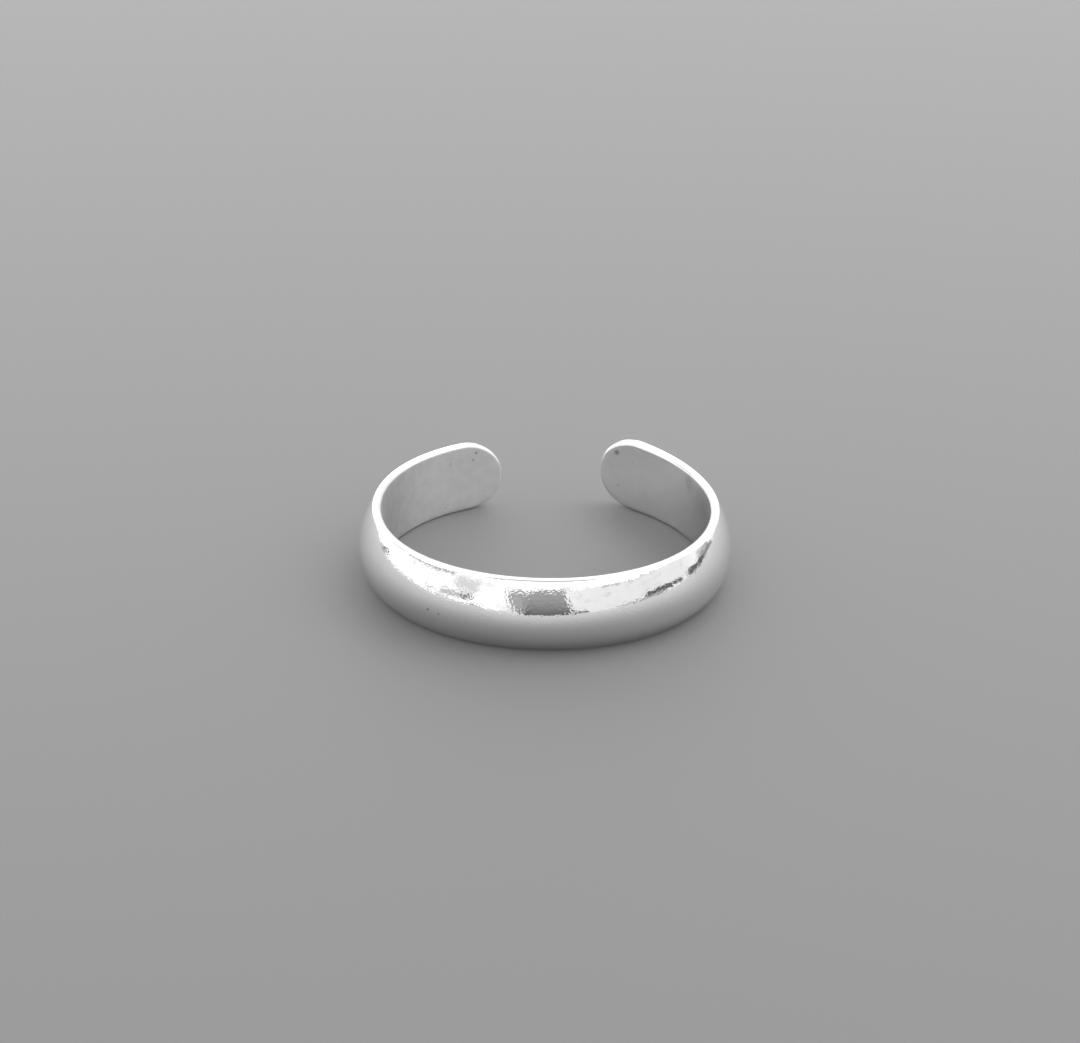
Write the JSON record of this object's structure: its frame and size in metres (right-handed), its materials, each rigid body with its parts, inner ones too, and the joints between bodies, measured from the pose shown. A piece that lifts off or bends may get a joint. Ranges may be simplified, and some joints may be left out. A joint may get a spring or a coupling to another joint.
{
  "type": "toe ring",
  "caption": "Plain open toe ring of polished half-round silver, with a flat inner wall, narrow flat rims and rounded tips either side of a small gap, so that it can be bent to fit.",
  "frame": {"origin": "on the ring's axis, in the base plane that the lower rim rests on", "axes": "+Z along the ring's axis, which points up while the ring lies on its side; +Y towards the open gap between the tips; +X completes the frame"},
  "size_m": [0.0176, 0.0167, 0.0035],
  "materials": {
    "silver": "polished silver, with a satin inner wall and fine polishing marks"
  },
  "bodies": {
    "root": {"band": "silver"}
  },
  "joints": []
}
